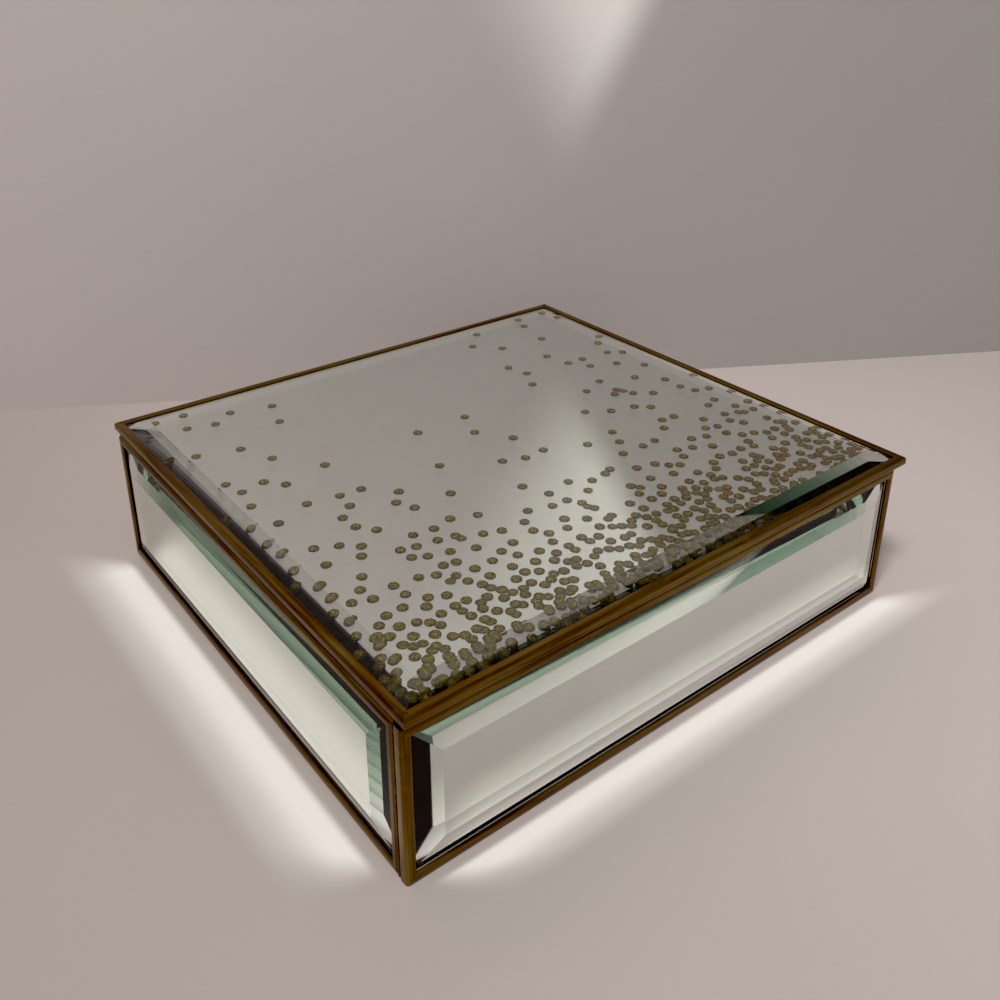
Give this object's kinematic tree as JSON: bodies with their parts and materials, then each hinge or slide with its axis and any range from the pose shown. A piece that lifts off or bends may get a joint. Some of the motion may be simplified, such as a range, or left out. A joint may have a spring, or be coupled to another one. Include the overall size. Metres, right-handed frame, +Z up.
{
  "type": "trinket box",
  "caption": "Low square trinket box of bevelled mirror glass in antique-brass came, with a hinged lid that has gold glitter dots under its glass.",
  "frame": {"origin": "centre of the base's underside, on the face it rests on; the base is centred on it, and the lid sits 3 mm to the right", "axes": "+X to the right along the front, +Y from the front to the hinged back, +Z up"},
  "size_m": [0.2515, 0.2345, 0.0677],
  "materials": {
    "came": "antique patina, satin, streaked olive and red-brown",
    "solder": "dark coppery patina, satin",
    "hinge_brass": "aged, satin",
    "glass": "clear, polished, bevelled edges, faint green",
    "silvering": "polished, dark paint on the back",
    "glitter": "metallic glitter, brown to gold",
    "backing": "flocked paper, matt black",
    "lining": "black velvet, soft",
    "felt": "matt black felt",
    "board": "plain fibreboard"
  },
  "bodies": {
    "base": {"front_pane": "glass", "front_mirror": "silvering", "front_top_rail": "came", "front_bottom_rail": "came", "front_frame_left_post": "came", "front_frame_right_post": "came", "right_pane": "glass", "right_mirror": "silvering", "right_top_rail": "came", "right_bottom_rail": "came", "right_frame_front_post": "came", "right_frame_back_post": "came", "back_pane": "glass", "back_mirror": "silvering", "back_top_rail": "came", "back_bottom_rail": "came", "back_frame_right_post": "came", "back_frame_left_post": "came", "left_pane": "glass", "left_mirror": "silvering", "left_top_rail": "came", "left_bottom_rail": "came", "left_frame_back_post": "came", "left_frame_front_post": "came", "corner_solder": "solder", "base_board": "board", "base_felt": "felt", "base_lining": "lining", "hinge_base_tubes": "hinge_brass", "hinge_base_solder": "solder"},
    "lid": {"lid_front_rail": "came", "lid_right_rail": "came", "lid_back_rail": "came", "lid_left_rail": "came", "lid_pane": "glass", "glitter_dots": "glitter", "lid_mirror": "silvering", "lid_backing": "backing", "lid_corner_solder": "solder", "hinge_lid_tube": "hinge_brass", "hinge_lid_solder": "solder", "hinge_pin": "hinge_brass"}
  },
  "joints": [
    {"name": "lid_hinge", "type": "hinge", "parent": "base", "child": "lid", "pos_m": [0, 0.1164, 0.0596], "axis": [-1, 0, 0], "range_deg": [0, 105]}
  ]
}
